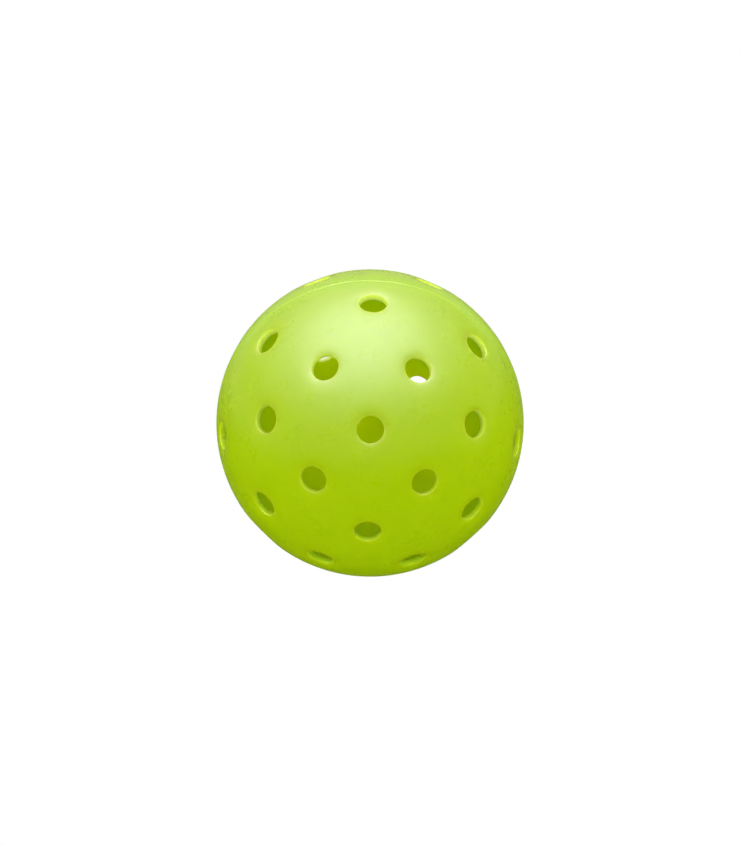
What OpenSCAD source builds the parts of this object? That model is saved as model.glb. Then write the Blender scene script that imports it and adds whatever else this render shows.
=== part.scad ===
// Outdoor pickleball ball: two identical moulded half shells with 20 holes each, butt-welded rim to rim.
// The ball's centre is the origin. The pole of the front half points along -Y, the weld lies in the XZ plane
// and +Z runs up through a column of holes of the front half.

/* [Ball] */
// Outer diameter of the ball
ball_d = 74; // [73:0.1:75.4]
// Thickness of the moulded wall
wall = 1.9; // [1.6:0.05:2.4]

/* [Holes] */
// Diameter of every hole
hole_d = 6.5; // [5:0.1:7.5]
// Width of the broken edge round the outside of every hole
edge = 0.2; // [0.1:0.05:0.4]
// Angle from the pole to the first ring, of four holes
first_ring = 21.15; // [18:0.05:24]
// Angle from one ring to the next
ring_pitch = 26.7; // [25:0.05:27]
// Angle round the pole between a hole of the first ring and the nearest holes of the second, either side of it
pair_spread = 24; // [20:0.5:25]

/* [Weld] */
// Turn of the rear half round the pole axis, against the front half
stagger = 22.5; // [0:0.5:45]
// Thickness of the melted layer between the two rims
melt = 0.4; // [0.2:0.05:0.8]
// Radius of the two rolls of melt squeezed out on the inside
roll_r = 0.55; // [0.4:0.05:0.8]

/* [Hidden] */
$fn = 144;
shell_green = [0.66, 0.84, 0.02];
weld_green = [0.74, 0.90, 0.16];
outer_r = ball_d / 2;
inner_r = outer_r - wall;
hole_r = hole_d / 2;
// Distance from the ball's centre to the circle where a hole of this radius leaves the outside
mouth = sqrt(outer_r ^ 2 - (hole_r + edge) ^ 2);
// The cutters start well inside the hollow and end well outside the ball
past_wall = 4;
// One entry per ring: the ring's angle from the pole, then the angles of its holes round the pole
rings = [
    [first_ring, [for (i = [0:3]) 90 * i]],
    [first_ring + ring_pitch, [for (i = [0:3], side = [-1, 1]) 90 * i + side * pair_spread]],
    [first_ring + 2 * ring_pitch, [for (i = [0:7]) 45 * i]]
];

// A straight hole along +Z through the wall, with its outer edge broken at 45 degrees
module hole_cutter() {
    translate([0, 0, inner_r - past_wall]) cylinder(r = hole_r, h = wall + 2 * past_wall);
    translate([0, 0, mouth - edge]) cylinder(r1 = hole_r, r2 = hole_r + edge + past_wall, h = edge + past_wall);
}

// Half of the hollow ball, with its pole along +Z, its rim half a melt layer above z = 0 and its holes cut
module half_shell() {
    difference() {
        sphere(r = outer_r);
        sphere(r = inner_r);
        translate([-ball_d, -ball_d, melt / 2 - 2 * ball_d]) cube(2 * ball_d);
        for (ring = rings, turn = ring[1]) rotate([0, 0, turn]) rotate([-ring[0], 0, 0]) hole_cutter();
    }
}

module front_half_shell() {
    color(shell_green) rotate([90, 0, 0]) half_shell();
}

// The same moulding turned to face the other way, then round the pole axis by the stagger
module rear_half_shell() {
    color(shell_green) rotate([0, stagger, 0]) rotate([0, 0, 180]) rotate([90, 0, 0]) half_shell();
}

// The melted layer that joins the rims, flush outside, with two rolls of melt against the inside of the wall
module weld_bead() {
    color(weld_green) rotate([90, 0, 0]) rotate_extrude() {
        translate([inner_r - roll_r / 2, -melt / 2]) square([wall + roll_r / 2, melt]);
        intersection() {
            circle(r = inner_r);
            for (side = [-1, 1]) translate([inner_r, side * roll_r * 0.9]) circle(r = roll_r, $fn = 48);
        }
    }
}

front_half_shell();
rear_half_shell();
weld_bead();
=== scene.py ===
"""Looks of the pickleball ball: two perforated half shells of satin green polyethylene, and their weld."""

import math

import bpy
import numpy as np
from mathutils import Matrix, Vector
from mathutils.geometry import delaunay_2d_cdt


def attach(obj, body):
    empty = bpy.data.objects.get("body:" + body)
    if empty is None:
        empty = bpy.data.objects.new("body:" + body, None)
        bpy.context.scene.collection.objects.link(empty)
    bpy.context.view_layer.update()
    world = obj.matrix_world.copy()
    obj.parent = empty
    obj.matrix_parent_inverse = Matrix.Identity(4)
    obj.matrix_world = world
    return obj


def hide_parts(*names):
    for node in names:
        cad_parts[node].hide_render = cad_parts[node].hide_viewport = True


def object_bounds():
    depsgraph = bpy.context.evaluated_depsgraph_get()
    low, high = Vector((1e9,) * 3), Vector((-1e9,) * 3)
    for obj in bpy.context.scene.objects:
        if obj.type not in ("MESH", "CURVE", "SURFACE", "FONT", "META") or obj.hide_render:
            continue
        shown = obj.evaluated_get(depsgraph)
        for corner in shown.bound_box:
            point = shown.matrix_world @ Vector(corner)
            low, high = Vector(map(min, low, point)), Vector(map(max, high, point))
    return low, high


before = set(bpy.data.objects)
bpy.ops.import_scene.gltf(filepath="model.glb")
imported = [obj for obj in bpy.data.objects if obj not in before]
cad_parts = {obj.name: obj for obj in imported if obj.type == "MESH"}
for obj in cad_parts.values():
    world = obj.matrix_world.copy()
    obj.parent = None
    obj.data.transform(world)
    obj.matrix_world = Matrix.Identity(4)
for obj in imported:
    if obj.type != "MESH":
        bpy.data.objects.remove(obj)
cad_low, cad_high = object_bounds()

MM = 0.001

# The design's sizes, as in the CAD model
BALL_R = max(cad_high - cad_low) / 2
WALL = 1.9 * MM
INNER_R = BALL_R - WALL
HOLE_R = 3.25 * MM
FIRST_RING = math.radians(21.15)
RING_PITCH = math.radians(26.7)
PAIR_SPREAD = math.radians(24)
STAGGER = math.radians(22.5)
MELT = 0.4 * MM
ROLL_R = 0.55 * MM

# Finish of the moulding round each hole: a patch of skin with a shallow dish, a rounded mouth and a lip
PATCH_R = 7.2 * MM
PATCH_SIN = PATCH_R / BALL_R
PATCH_COS = math.sqrt(1 - PATCH_SIN**2)
DISH_WIDTH = 3.8 * MM
DISH_DEPTH = 0.28 * MM
MOUTH_WIDTH = 1.7 * MM
MOUTH_DEPTH = 0.14 * MM
LIP_R = 0.22 * MM
INNER_LIP_R = 0.15 * MM
EDGE_WANDER = 0.02 * MM
HOLE_SEGMENTS = 72
DISH_STEPS = 14
LIP_STEPS = 8
WALL_STEPS = 6
INNER_LIP_STEPS = 4
INNER_SKIN_STEPS = 8

# How much of the cut edge's look (its painted highlight and shine, and its shorter light reach) the skin next
# to it has, and how far it reaches
OUTER_EDGE_SHARE = 0.2
INNER_EDGE_SHARE = 0.4
EDGE_SHARE_WIDTH = 0.8 * MM

# A nick of plastic left on one hole of the front half: its angle round the hole, its width and its size
BURR_HOLE = 19
BURR = (math.radians(180), 0.10, 0.30 * MM)

# Finish of the rim, next to the weld
RIM_SEGMENTS = 288
RIM_BAND = 1.4 * MM
RIM_ROUND = 0.16 * MM

# The plain skin between the holes: the distance between its points, the area that each one stands for, and
# the angle that is kept clear of them along the borders
SKIN_SPACING = 1.15 * MM
SKIN_CELL = 0.87 * SKIN_SPACING**2
BORDER_GAP = 0.45 * SKIN_SPACING / BALL_R

# The weld: a low crown outside, and the ripple of the crown and of the rolls as shares of a roll's radius
WELD_SEGMENTS = 540
CROWN = 0.05 * MM
CROWN_RIPPLE = 0.015
ROLL_RIPPLE = 0.12
ROLL_PLACE = 0.9 * ROLL_R + 0.3 * MELT / 2

# Polyethylene: scales of its textures, in cells per metre
MOTTLE_SCALE = 90.0
SPECK_SCALE = 900.0
SCUFF_SCALE = 160.0
PEEL_SCALE = 700.0
PEEL_DEPTH = 0.02 * MM
SPECK_SHARE = 0.35
SHELL_ROUGHNESS = 0.28
WELD_ROUGHNESS = 0.3
OUTER_SPECULAR = 0.5
INNER_SPECULAR = 0.08

# Light travels far inside the wall, less far at the cut edges, and cannot cross the weld
LIGHT_REACH = 10.5 * MM
REACH_AT_WELD = 0.3 * MM
WELD_ZONE = (0.3 * MM, 4.5 * MM)
REACH_LOST_AT_EDGES = 0.55
REACH_BY_COLOR = (1.0, 1.0, 0.3)

# The cut edges' painted highlight: how pale the lowest are, the height where they are fully pale, and their
# painted shine, an emission that grows toward the top
LOWEST_PALENESS = 0.25
FULLY_PALE_FROM = 0.6 * BALL_R
PAINTED_EDGE_SHINE = 0.22
PAINTED_EDGE_SHINE_COLOR = (0.66, 0.92, 0.32, 1)

SHELL_COLORS = {
    "skin": (0.462, 0.855, 0.002, 1),
    "deep": (0.445, 0.825, 0.001, 1),
    "speck": (0.60, 0.90, 0.20, 1),
    # Painted highlight: the paler colour of the cut edges stands in for light led to them through the plastic
    "edge": (0.665, 0.98, 0.03, 1),
    # Painted shade: the inner skin is coloured darker than the outer skin of the same plastic, for the dim
    # inside of the ball
    "inside": (0.39, 0.61, 0.001, 1),
    "rim": (0.47, 0.72, 0.002, 1),
}
WELD_COLORS = {**SHELL_COLORS, "skin": (0.54, 0.76, 0.05, 1), "deep": SHELL_COLORS["skin"]}

# Camera: seen from its place, the front pole lies below the middle of the ball. The last value is the width
# of the ball as a share of the picture's width
CAMERA_AZIMUTH = math.radians(-0.18)
CAMERA_ELEVATION = math.radians(23.58)
CAMERA_ROLL = math.radians(1.44)
CAMERA_DISTANCE = 40 * BALL_R
BALL_SHARE_OF_WIDTH = 0.4154

# Light, as (upward part of the direction, brightness). The fill lights the ball: a pale table straight below,
# dark low walls, bright upper walls and a softer ceiling. The reflected room is what the gloss shows. The top
# of both leans a little to the left, and there is a faint reflected glow behind the ball
FILL_STRENGTH = 1.67
FILL_ROOM = [(-1.0, 1.0), (-0.7, 0.14), (-0.3, 0.10), (0.0, 0.74), (0.4, 1.0), (0.7, 0.64), (1.0, 0.38)]
LEFT_LEAN = 0.11
BACK_GLOW = 0.15
BACK_GLOW_START = 0.68
REFLECTED_STRENGTH = 12.2
REFLECTED_ROOM = [
    (-0.30, 0.0),
    (-0.20, 0.001),
    (-0.12, 0.008),
    (-0.04, 0.034),
    (0.05, 0.044),
    (0.15, 0.024),
    (0.25, 0.030),
    (0.38, 0.052),
    (0.50, 0.105),
    (0.65, 0.155),
    (0.75, 0.24),
    (0.85, 0.45),
    (0.95, 0.58),
    (1.0, 0.70),
]
FLOOR_HALF = 4.0


# ---------------------------------------------------------------- circles and meshes

def direction(polar, azimuth):
    """Unit vector at an angle from +Z, turned about +Z from +Y."""
    flat = math.sin(polar)
    return Vector((-flat * math.sin(azimuth), flat * math.cos(azimuth), math.cos(polar)))


def full_turn(count):
    """Evenly spaced angles once round."""
    return np.arange(count) * 2 * math.pi / count


def ring_about(axis, height, radius, turns):
    """Points round an axis at a height along it."""
    u = axis.cross(Vector((0, 0, 1))).normalized()
    v = axis.cross(u)
    across = np.outer(radius * np.cos(turns), u) + np.outer(radius * np.sin(turns), v)
    return height * np.array(axis) + across


def level_ring(height, radius, turns):
    """Points round +Z at a height."""
    return np.c_[radius * np.cos(turns), radius * np.sin(turns), np.full(len(turns), height)]


def waves(rng, counts, sizes, turns):
    """A sum of random sine waves round a full turn."""
    return sum(
        size * rng.standard_normal() * np.sin(count * turns + rng.uniform(0, 2 * math.pi))
        for count, size in zip(counts, sizes)
    )


def smooth_object(name, points, faces, place=Matrix()):
    """A smooth-shaded object in the scene, its points moved into place."""
    mesh = bpy.data.meshes.new(name)
    mesh.from_pydata(points.tolist(), [], faces)
    mesh.transform(place)
    mesh.polygons.foreach_set("use_smooth", [True] * len(mesh.polygons))
    mesh.update()
    made = bpy.data.objects.new(name, mesh)
    bpy.context.scene.collection.objects.link(made)
    return made


class Surface:
    """Points, their edge values and faces of a mesh that is being built."""

    def __init__(self):
        self.points = []
        self.edges = []
        self.faces = []
        self.count = 0

    def add(self, points, edge):
        """Add points that share one edge value, and give back their numbers."""
        first = self.count
        self.points.append(points)
        self.edges.append(np.full(len(points), edge))
        self.count += len(points)
        return np.arange(first, self.count)

    def join(self, loops, turned):
        """Quads from each loop of points to the next."""
        for a, b in zip(loops, loops[1:]):
            quads = np.c_[a, np.roll(a, -1), np.roll(b, -1), b]
            self.faces.extend((quads[:, ::-1] if turned else quads).tolist())


# ---------------------------------------------------------------- half shells

def hole_axes():
    """Axes of one half's 20 holes, its pole along +Z."""
    quarter = math.pi / 2
    first = [direction(FIRST_RING, quarter * i) for i in range(4)]
    second = [
        direction(FIRST_RING + RING_PITCH, quarter * i + side * PAIR_SPREAD)
        for i in range(4)
        for side in (-1, 1)
    ]
    third = [direction(FIRST_RING + 2 * RING_PITCH, quarter / 2 * i) for i in range(8)]
    return first + second + third


def fading(s, start, width):
    """1 at the start, falling evenly to 0 over the width."""
    return max(0.0, 1 - (s - start) / width)


def outer_height(s):
    """Height of the outer skin along a hole's axis, at a distance s from it, in the dish and the mouth."""
    dish = DISH_DEPTH * fading(s, HOLE_R, DISH_WIDTH) ** 2
    mouth = MOUTH_DEPTH * fading(s, HOLE_R, MOUTH_WIDTH) ** 3
    return math.sqrt(BALL_R**2 - s**2) - dish - mouth


def hole_profile():
    """(distance from the axis, height along it, edge) of each ring, from the outer skin to the inner.

    The rings are the dish, the outer lip, the wall, the inner lip and the inner skin. Edge runs from 0 on
    the skins to 1 on the wall.
    """
    outer_s = HOLE_R + LIP_R
    inner_s = HOLE_R + INNER_LIP_R
    inner_patch = PATCH_R * INNER_R / BALL_R
    top = outer_height(outer_s)
    foot = math.sqrt(INNER_R**2 - inner_s**2)
    wall_top = top - LIP_R
    wall_foot = foot + INNER_LIP_R
    points = []
    for t in np.linspace(1, 0, DISH_STEPS + 1)[1:]:
        s = outer_s + (PATCH_R - outer_s) * t**1.5
        points.append((s, outer_height(s), OUTER_EDGE_SHARE * fading(s, outer_s, EDGE_SHARE_WIDTH) ** 2))
    for g in np.linspace(0, math.pi / 2, LIP_STEPS + 1)[1:]:
        edge = OUTER_EDGE_SHARE + (1 - OUTER_EDGE_SHARE) * (1 - math.cos(g))
        points.append((outer_s - LIP_R * math.sin(g), top - LIP_R * (1 - math.cos(g)), edge))
    for t in np.linspace(0, 1, WALL_STEPS + 1)[1:]:
        points.append((HOLE_R, wall_top + (wall_foot - wall_top) * t, 1))
    for g in np.linspace(0, math.pi / 2, INNER_LIP_STEPS + 1)[1:]:
        edge = 1 - (1 - INNER_EDGE_SHARE) * math.sin(g)
        points.append((inner_s - INNER_LIP_R * math.cos(g), foot + INNER_LIP_R * (1 - math.sin(g)), edge))
    for t in np.linspace(0, 1, INNER_SKIN_STEPS + 1)[1:-1]:
        s = inner_s + (inner_patch - inner_s) * t**1.5
        points.append((s, math.sqrt(INNER_R**2 - s**2), INNER_EDGE_SHARE * fading(s, inner_s, EDGE_SHARE_WIDTH) ** 2))
    return points


def hole_rings(axis, rng, burr):
    """Rings of points down through one hole, whose edge wanders a little and may have a nick on it."""
    turns = full_turn(HOLE_SEGMENTS)
    counts = (2, 3, 5, 7)
    wander = waves(rng, counts, [EDGE_WANDER / k for k in counts], turns)
    rings = []
    for s, h, _ in hole_profile():
        share = np.clip((PATCH_R - s) / (PATCH_R - HOLE_R), 0, 1) ** 4
        radius = s + wander * share
        if burr and h > INNER_R and s < HOLE_R + LIP_R:
            place, width, size = burr
            off = np.angle(np.exp(1j * (turns - place)))
            radius = radius - size * np.exp(-((off / width) ** 2))
        rings.append(ring_about(axis, h, radius, turns))
    return rings


def rim_profile():
    """(distance from the pole axis, height) of each ring, from the outer skin over the rim to the inner."""
    foot = MELT / 2
    start = math.asin((foot + RIM_BAND) / BALL_R)
    end = math.asin((foot + RIM_ROUND) / BALL_R)
    points = []
    for a in start + (end - start) * np.linspace(0, 1, 6)[1:]:
        points.append((BALL_R * math.cos(a), BALL_R * math.sin(a)))
    for g in np.linspace(0, math.pi / 2, 5)[1:]:
        points.append((BALL_R - RIM_ROUND * (1 - math.cos(g)), foot + RIM_ROUND * (1 - math.sin(g))))
    for t in np.linspace(0, 1, 5)[1:]:
        points.append((BALL_R - RIM_ROUND + (INNER_R - BALL_R + RIM_ROUND) * t, foot))
    for a in start * np.linspace(0, 1, 4)[1:-1]:
        points.append((INNER_R * math.cos(a), max(foot, INNER_R * math.sin(a))))
    return points


def plain_skin(axes, rim_angle):
    """Evenly spread directions over the cap down to the rim angle, clear of every hole's patch."""
    count = int(4 * math.pi * BALL_R**2 / SKIN_CELL)
    i = np.arange(count) + 0.5
    z = 1 - 2 * i / count
    turn = i * math.pi * (3 - math.sqrt(5))
    flat = np.sqrt(1 - z**2)
    spots = np.c_[flat * np.cos(turn), flat * np.sin(turn), z]
    spots = spots[z > math.cos(rim_angle) + BORDER_GAP]
    nearest = (spots @ np.array(axes).T).max(axis=1)
    return spots[nearest < math.cos(math.asin(PATCH_SIN) + BORDER_GAP)]


def skin_triangles(skin, loop_sizes, axes, rim_angle):
    """Triangles over the skin between the hole patches and the rim, all facing outward.

    They are found flat, in stereographic projection, where circles stay circles. The first points of the
    skin are the border loops.
    """
    flat = skin[:, :2] / (1 + skin[:, 2:])
    borders = []
    start = 0
    for size in loop_sizes:
        borders += [(start + j, start + (j + 1) % size) for j in range(size)]
        start += size
    _, _, found, origin, _, _ = delaunay_2d_cdt([Vector(p) for p in flat], borders, [], 0, 1e-9)
    triangles = np.array([[origin[corner][0] for corner in face] for face in found])
    middle = skin[triangles].mean(axis=1)
    middle /= np.linalg.norm(middle, axis=1)[:, None]
    in_hole = (middle @ np.array(axes).T).max(axis=1) > PATCH_COS
    past_rim = middle[:, 2] < math.cos(rim_angle)
    triangles = triangles[~in_hole & ~past_rim]
    p, q, r = (skin[triangles[:, k]] for k in range(3))
    inward = np.einsum("ij,ij->i", np.cross(q - p, r - p), p) < 0
    triangles[inward] = triangles[inward][:, ::-1]
    return triangles


def half_shell(name, place, seed, burrs):
    """One moulded half as a closed mesh, built with its pole along +Z, then set in place."""
    rng = np.random.default_rng(seed)
    axes = hole_axes()
    rim_turns = full_turn(RIM_SEGMENTS)
    rim_angle = math.acos((MELT / 2 + RIM_BAND) / BALL_R)
    loops = [ring_about(axis, PATCH_COS, PATCH_SIN, full_turn(HOLE_SEGMENTS)) for axis in axes]
    loops.append(level_ring(math.cos(rim_angle), math.sin(rim_angle), rim_turns))
    skin = np.vstack([*loops, plain_skin(axes, rim_angle)])
    triangles = skin_triangles(skin, [len(loop) for loop in loops], axes, rim_angle)

    # The inner skin has the same triangles, facing the other way
    surface = Surface()
    surface.add(skin * BALL_R, 0)
    surface.add(skin * INNER_R, 0)
    inner = len(skin)
    surface.faces += [*triangles.tolist(), *(triangles[:, ::-1] + inner).tolist()]

    edges = [edge for _, _, edge in hole_profile()]
    for h, axis in enumerate(axes):
        border = np.arange(HOLE_SEGMENTS) + h * HOLE_SEGMENTS
        rings = hole_rings(axis, rng, burrs.get(h))
        between = [surface.add(ring, edge) for ring, edge in zip(rings, edges)]
        surface.join([border, *between, border + inner], turned=False)
    border = np.arange(RIM_SEGMENTS) + len(axes) * HOLE_SEGMENTS
    between = [surface.add(level_ring(h, s, rim_turns), 0) for s, h in rim_profile()]
    surface.join([border, *between, border + inner], turned=True)

    shell = smooth_object(name, np.vstack(surface.points), surface.faces, place)
    attribute = shell.data.attributes.new("edge", "FLOAT", "POINT")
    attribute.data.foreach_set("value", np.concatenate(surface.edges))
    return shell


# ---------------------------------------------------------------- weld

def weld_side(side):
    """(distance from the pole axis, height, ripple) down one side: half the crown, the face and the roll."""
    half = MELT / 2
    points = []
    for g in np.linspace(0, math.pi / 2, 5):
        points.append((BALL_R - CROWN * (1 - math.cos(g)), side * half * math.sin(g), CROWN_RIPPLE))
    for t in (0.3, 0.65, 1.0):
        points.append((BALL_R - CROWN + (INNER_R - BALL_R + CROWN) * t, side * half, 0))
    for g in np.linspace(0, math.pi, 9)[1:]:
        height = ROLL_PLACE - ROLL_R * math.cos(g)
        points.append((INNER_R - ROLL_R * math.sin(g), side * height, ROLL_RIPPLE * math.sin(g)))
    return points


def weld_ring(name, seed):
    """The remelted layer: a low uneven crown between the rims, and two rolls of melt inside."""
    rng = np.random.default_rng(seed)
    turns = full_turn(WELD_SEGMENTS)
    counts = (3, 5, 8, 13, 21, 34, 55, 89)
    ripple = waves(rng, counts, [1 / math.sqrt(k) for k in counts], turns)
    ripple /= np.abs(ripple).max()
    surface = Surface()
    loops = []
    for s, h, wave in weld_side(1)[::-1] + weld_side(-1)[1:]:
        radius = s + wave * ROLL_R * ripple
        ring = np.c_[radius * np.cos(turns), np.full(WELD_SEGMENTS, h), radius * np.sin(turns)]
        loops.append(surface.add(ring, 0))
    surface.join([*loops, loops[0]], turned=False)
    return smooth_object(name, np.vstack(surface.points), surface.faces)


# ---------------------------------------------------------------- shader nodes

def node(tree, kind, at, **values):
    """A shader node with its settings and input values."""
    made = tree.nodes.new(kind)
    made.location = at
    for key, value in values.items():
        if key in made.inputs:
            made.inputs[key].default_value = value
        else:
            setattr(made, key, value)
    return made


def feed(tree, socket, value):
    """Link an output to an input socket, or set the input to a plain value."""
    if isinstance(value, bpy.types.NodeSocket):
        tree.links.new(value, socket)
    else:
        socket.default_value = value


def map_range(tree, at, value, start, end, low=0.0, high=1.0, blend="LINEAR"):
    """A value taken from the range start to end into the range low to high."""
    made = node(tree, "ShaderNodeMapRange", at, interpolation_type=blend)
    settings = {"Value": value, "From Min": start, "From Max": end, "To Min": low, "To Max": high}
    for key, setting in settings.items():
        feed(tree, made.inputs[key], setting)
    return made.outputs["Result"]


def calculate(tree, at, operation, *values):
    """The result of a calculation with outputs or plain values."""
    made = node(tree, "ShaderNodeMath", at, operation=operation)
    for socket, value in zip(made.inputs, values):
        feed(tree, socket, value)
    return made.outputs["Value"]


def mix_colors(tree, at, share, first, second):
    """Two colors mixed, with the given share of the second."""
    made = node(tree, "ShaderNodeMix", at, data_type="RGBA")
    factor, color_a, color_b, mixed = 0, 6, 7, 2
    feed(tree, made.inputs[factor], share)
    feed(tree, made.inputs[color_a], first)
    feed(tree, made.inputs[color_b], second)
    return made.outputs[mixed]


def mix_shaders(tree, at, share, first, second):
    """Two shaders mixed, with the given share of the second."""
    made = node(tree, "ShaderNodeMixShader", at)
    for socket, value in zip(made.inputs, (share, first, second)):
        feed(tree, socket, value)
    return made.outputs["Shader"]


def texture(tree, kind, at, point, result, **values):
    """One output of a texture at a point."""
    made = node(tree, kind, at, **values)
    tree.links.new(point, made.inputs["Vector"])
    return made.outputs[result]


# ---------------------------------------------------------------- polyethylene

def skin_color(tree, point, colors):
    """The outer skin's color, faintly mottled and with small pale specks."""
    noise = "ShaderNodeTexNoise"
    cloudy = texture(tree, noise, (-1200, 300), point, "Fac", Scale=MOTTLE_SCALE, Detail=3.0, Roughness=0.5)
    mottle = map_range(tree, (-1050, 300), cloudy, 0.35, 0.6)
    tint = mix_colors(tree, (-900, 300), mottle, colors["deep"], colors["skin"])
    cells = texture(tree, "ShaderNodeTexVoronoi", (-1200, 0), point, "Distance", Scale=SPECK_SCALE)
    dots = map_range(tree, (-1050, 0), cells, 0.12, 0.05)
    faint = calculate(tree, (-900, 0), "MULTIPLY", dots, SPECK_SHARE)
    return mix_colors(tree, (-700, 200), faint, tint, colors["speck"])


def satin(tree, point, rough):
    """Roughness with faint scuffs."""
    noise = "ShaderNodeTexNoise"
    scuff = texture(tree, noise, (-1200, -300), point, "Fac", Scale=SCUFF_SCALE, Detail=5.0, Roughness=0.65)
    return map_range(tree, (-900, -300), scuff, 0.3, 0.7, rough - 0.02, rough + 0.03)


def orange_peel(tree, point):
    """Normal of a very slightly bumpy surface."""
    peel = texture(tree, "ShaderNodeTexNoise", (-1200, -600), point, "Fac", Scale=PEEL_SCALE, Detail=2.0)
    bump = node(tree, "ShaderNodeBump", (-500, -500), Strength=0.25, Distance=PEEL_DEPTH)
    tree.links.new(peel, bump.inputs["Height"])
    return bump.outputs["Normal"]


def polyethylene(name, colors, rough):
    """Satin, strongly translucent moulded polyethylene, on the outer skin, the cut edges and the inside, with
    a painted highlight and shine on the cut edges and painted shade on the inner skin.
    """
    material = bpy.data.materials.new(name)
    material.use_nodes = True
    tree = material.node_tree
    point = node(tree, "ShaderNodeTexCoord", (-1500, 0)).outputs["Object"]
    axes = node(tree, "ShaderNodeSeparateXYZ", (-1200, -900))
    tree.links.new(point, axes.inputs["Vector"])
    edge = node(tree, "ShaderNodeAttribute", (-900, 500), attribute_name="edge").outputs["Fac"]

    # Away from the weld: 0 on the rims, 1 where the light inside the wall has its full reach
    from_weld = calculate(tree, (-1050, -900), "ABSOLUTE", axes.outputs["Y"])
    clear = map_range(tree, (-900, -900), from_weld, *WELD_ZONE, blend="SMOOTHSTEP")
    reach = map_range(tree, (-700, -900), clear, 0.0, 1.0, REACH_AT_WELD, LIGHT_REACH)
    kept = calculate(tree, (-700, -1050), "MULTIPLY_ADD", edge, -REACH_LOST_AT_EDGES, 1.0)

    # Inside: 0 on the outer skin, 1 on the inner skin, which is duller, less polished, and coloured darker as
    # painted shade
    from_centre = node(tree, "ShaderNodeVectorMath", (-1200, 600), operation="LENGTH")
    tree.links.new(point, from_centre.inputs[0])
    middle, inner = BALL_R - 0.5 * WALL, INNER_R + 0.1 * MM
    inside = map_range(tree, (-1050, 600), from_centre.outputs["Value"], middle, inner)
    gloss = map_range(tree, (-300, -200), inside, 0.0, 1.0, OUTER_SPECULAR, INNER_SPECULAR)

    # The cut edges get a painted highlight: a paler base colour for light led to them through the plastic,
    # weaker in lower holes as the light comes from above. Their painted shine, an emission, grows with height
    upward = axes.outputs["Z"]
    lit = map_range(tree, (-700, 600), upward, -BALL_R, FULLY_PALE_FROM, LOWEST_PALENESS)
    pale = calculate(tree, (-550, 600), "MULTIPLY", edge, lit)
    shine_by_height = map_range(tree, (-900, 800), upward, 0.0, BALL_R, 0.0, PAINTED_EDGE_SHINE)

    outer = skin_color(tree, point, colors)
    rimmed = mix_colors(tree, (-650, 200), clear, colors["rim"], outer)
    # Painted shade: the inner skin takes the darker inside colour
    two_skins = mix_colors(tree, (-600, 400), inside, rimmed, colors["inside"])
    inputs = {
        # Painted highlight: the base colour turns paler on the cut edges, more so higher up
        "Base Color": mix_colors(tree, (-450, 300), pale, two_skins, colors["edge"]),
        "Roughness": satin(tree, point, rough),
        "Normal": orange_peel(tree, point),
        "IOR": 1.5,
        "Specular IOR Level": gloss,
        "Subsurface Weight": 1.0,
        "Subsurface Radius": REACH_BY_COLOR,
        "Subsurface Scale": calculate(tree, (-500, -900), "MULTIPLY", reach, kept),
        # Painted shine: emission on the cut edges, growing with height, where the light comes from above
        "Emission Color": PAINTED_EDGE_SHINE_COLOR,
        "Emission Strength": calculate(tree, (-700, 800), "MULTIPLY", shine_by_height, edge),
    }
    shader = tree.nodes["Principled BSDF"]
    for key, value in inputs.items():
        feed(tree, shader.inputs[key], value)
    return material


# ---------------------------------------------------------------- object

FRONT = Matrix.Rotation(math.pi / 2, 4, "X")
REAR = Matrix.Rotation(STAGGER, 4, "Y") @ Matrix.Rotation(math.pi, 4, "Z") @ FRONT

shell_material = polyethylene("moulded_polyethylene", SHELL_COLORS, SHELL_ROUGHNESS)
weld_material = polyethylene("remelted_polyethylene", WELD_COLORS, WELD_ROUGHNESS)

front_shell = half_shell("front_moulding", FRONT, seed=11, burrs={BURR_HOLE: BURR})
rear_shell = half_shell("rear_moulding", REAR, seed=12, burrs={})
weld = weld_ring("weld_ridge", seed=13)

for piece, cad_node, material in (
    (front_shell, "front_half_shell", shell_material),
    (rear_shell, "rear_half_shell", shell_material),
    (weld, "weld_bead", weld_material),
):
    piece.data.materials.append(material)
    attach(piece, "root")
    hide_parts(cad_node)


# ---------------------------------------------------------------- stage, light and camera

def floor():
    """A plain white floor under the ball, bright enough to leave no shadow."""
    corners = [
        (x * FLOOR_HALF, y * FLOOR_HALF, -BALL_R)
        for x, y in ((-1, -1), (1, -1), (1, 1), (-1, 1))
    ]
    mesh = bpy.data.meshes.new("floor")
    mesh.from_pydata(corners, [], [(0, 1, 2, 3)])
    material = bpy.data.materials.new("white_floor")
    material.use_nodes = True
    tree = material.node_tree
    tree.nodes.clear()
    out = node(tree, "ShaderNodeOutputMaterial", (300, 0))
    glow = node(tree, "ShaderNodeEmission", (0, 0), Color=(1, 1, 1, 1), Strength=1.0)
    tree.links.new(glow.outputs["Emission"], out.inputs["Surface"])
    mesh.materials.append(material)
    plane = bpy.data.objects.new("floor", mesh)
    plane.visible_diffuse = False
    plane.visible_glossy = False
    plane.visible_shadow = False
    bpy.context.scene.collection.objects.link(plane)


def brightness_by_height(tree, upward, levels, blend, row):
    """A ramp from (upward part, brightness) pairs, driven by the upward part of a direction."""
    ramp = node(tree, "ShaderNodeValToRGB", (-100, row))
    tree.links.new(map_range(tree, (-300, row), upward, -1, 1), ramp.inputs["Fac"])
    ramp.color_ramp.interpolation = blend
    stops = ramp.color_ramp.elements
    while len(stops) < len(levels):
        stops.new(0.5)
    for stop, (z, level) in zip(stops, levels):
        stop.position = (z + 1) / 2
        stop.color = (level, level, level, 1)
    return ramp.outputs["Color"]


def background(tree, at, color, strength):
    """A world shader of one color and strength."""
    made = node(tree, "ShaderNodeBackground", at)
    feed(tree, made.inputs["Color"], color)
    feed(tree, made.inputs["Strength"], strength)
    return made.outputs["Background"]


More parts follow.
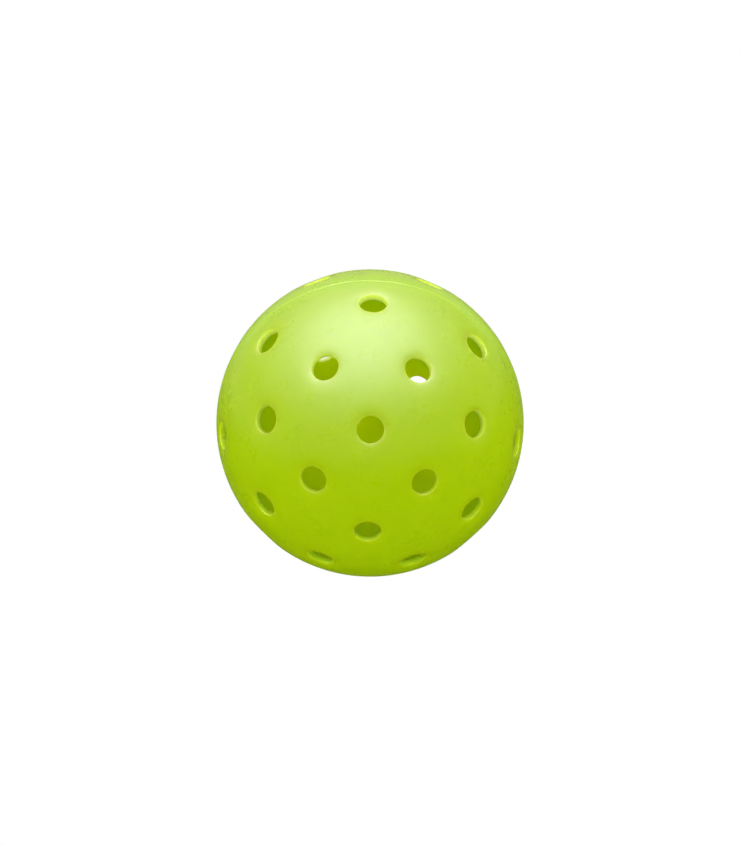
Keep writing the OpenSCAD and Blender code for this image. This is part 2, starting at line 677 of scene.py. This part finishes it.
def surroundings():
    """White for the camera, a soft fill on the ball, and a room that is bright overhead in the gloss."""
    white = (1, 1, 1, 1)
    world = bpy.data.worlds.new("studio")
    world.use_nodes = True
    world.cycles.sampling_method = "NONE"
    bpy.context.scene.world = world
    tree = world.node_tree
    tree.nodes.clear()
    path = node(tree, "ShaderNodeLightPath", (0, 400))
    place = node(tree, "ShaderNodeTexCoord", (-900, 0))
    axes = node(tree, "ShaderNodeSeparateXYZ", (-700, 0))
    tree.links.new(place.outputs["Generated"], axes.inputs["Vector"])
    x, y, z = axes.outputs

    upward = calculate(tree, (-500, 0), "MULTIPLY_ADD", x, -LEFT_LEAN, z)
    fill = brightness_by_height(tree, upward, FILL_ROOM, "LINEAR", -200)
    filled = background(tree, (100, -200), fill, FILL_STRENGTH)

    shine = brightness_by_height(tree, upward, REFLECTED_ROOM, "B_SPLINE", -500)
    behind = map_range(tree, (-300, -800), y, BACK_GLOW_START, 1, 0.0, BACK_GLOW)
    strength = calculate(tree, (200, -500), "MULTIPLY_ADD", shine, REFLECTED_STRENGTH, behind)
    reflected = background(tree, (350, -500), white, strength)

    lighting = mix_shaders(tree, (300, -200), path.outputs["Is Glossy Ray"], filled, reflected)
    backdrop = background(tree, (0, 0), white, 1.0)
    seen = mix_shaders(tree, (600, 0), path.outputs["Is Camera Ray"], lighting, backdrop)
    out = node(tree, "ShaderNodeOutputWorld", (900, 0))
    tree.links.new(seen, out.inputs["Surface"])


def camera():
    """A long lens at the viewing angle, the ball in the middle of the picture."""
    tilt = Matrix.Rotation(math.pi / 2 - CAMERA_ELEVATION, 4, "X")
    facing = Matrix.Rotation(CAMERA_AZIMUTH, 4, "Z") @ tilt @ Matrix.Rotation(CAMERA_ROLL, 4, "Z")
    data = bpy.data.cameras.new("camera")
    data.sensor_fit = "HORIZONTAL"
    data.angle = 2 * math.atan(math.tan(math.asin(BALL_R / CAMERA_DISTANCE)) / BALL_SHARE_OF_WIDTH)
    data.clip_start = 0.01
    data.clip_end = 100
    made = bpy.data.objects.new("camera", data)
    made.matrix_world = facing @ Matrix.Translation((0, 0, CAMERA_DISTANCE))
    bpy.context.scene.collection.objects.link(made)
    bpy.context.scene.camera = made


floor()
surroundings()
camera()
bpy.context.scene.view_settings.view_transform = "Standard"
